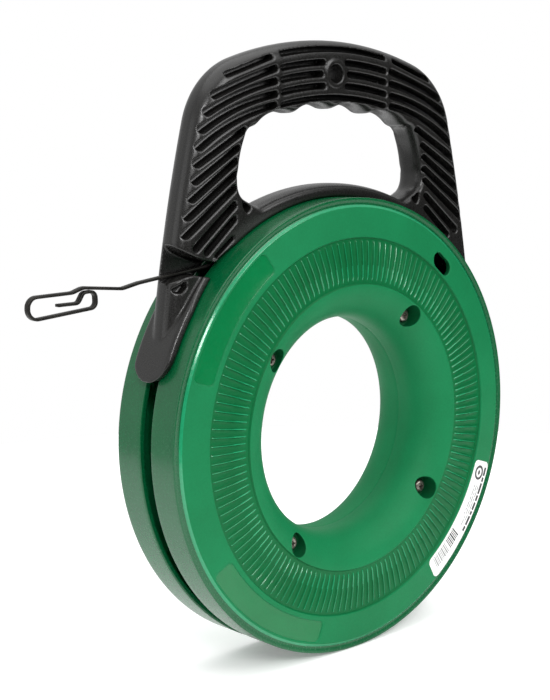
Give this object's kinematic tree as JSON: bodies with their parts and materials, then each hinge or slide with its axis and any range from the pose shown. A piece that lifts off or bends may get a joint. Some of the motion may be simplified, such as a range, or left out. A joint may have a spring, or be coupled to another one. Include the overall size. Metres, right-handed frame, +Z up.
{
  "type": "fish tape reel",
  "caption": "Round two-part reel case with a flared open hub and radial grip ribs, turning inside a looped carrying handle that guides a flat spring-steel fish tape with a hooked end.",
  "frame": {"origin": "centre of the hub opening, on the parting plane between the two case halves, which is the point the case turns about", "axes": "+Y along the reel axis towards the rear half, the front face looks to -Y; +Z up through the middle of the handle grip; +X to the right seen from the front, so the tape leaves towards -X"},
  "size_m": [0.3163, 0.0534, 0.3333],
  "materials": {
    "handle_plastic": "fine satin moulding",
    "case_plastic": "moulded, light texture",
    "screw_steel": "black oxide",
    "nut_steel": "zinc plated",
    "tape_steel": "oiled, blued spring steel",
    "label_film": "satin vinyl"
  },
  "bodies": {
    "grip_frame": {"handle": "handle_plastic"},
    "reel": {"front_case_half": "case_plastic", "rear_case_half": "case_plastic", "case_screw_1": "screw_steel", "case_screw_2": "screw_steel", "case_screw_3": "screw_steel", "case_screw_4": "screw_steel", "case_nut_1": "nut_steel", "case_nut_2": "nut_steel", "case_nut_3": "nut_steel", "case_nut_4": "nut_steel", "tape_coil": "tape_steel", "case_label": "label_film"},
    "leader": {"tape_leader": "tape_steel"}
  },
  "joints": [
    {"name": "reel_spin", "type": "hinge", "parent": "grip_frame", "child": "reel", "pos_m": [0, 0, 0], "axis": [0, 1, 0], "continuous": true},
    {"name": "tape_payout", "type": "slide", "parent": "grip_frame", "child": "leader", "axis": [-0.9923, 0, -0.1236], "range_m": [-0.008, 0.045]}
  ]
}
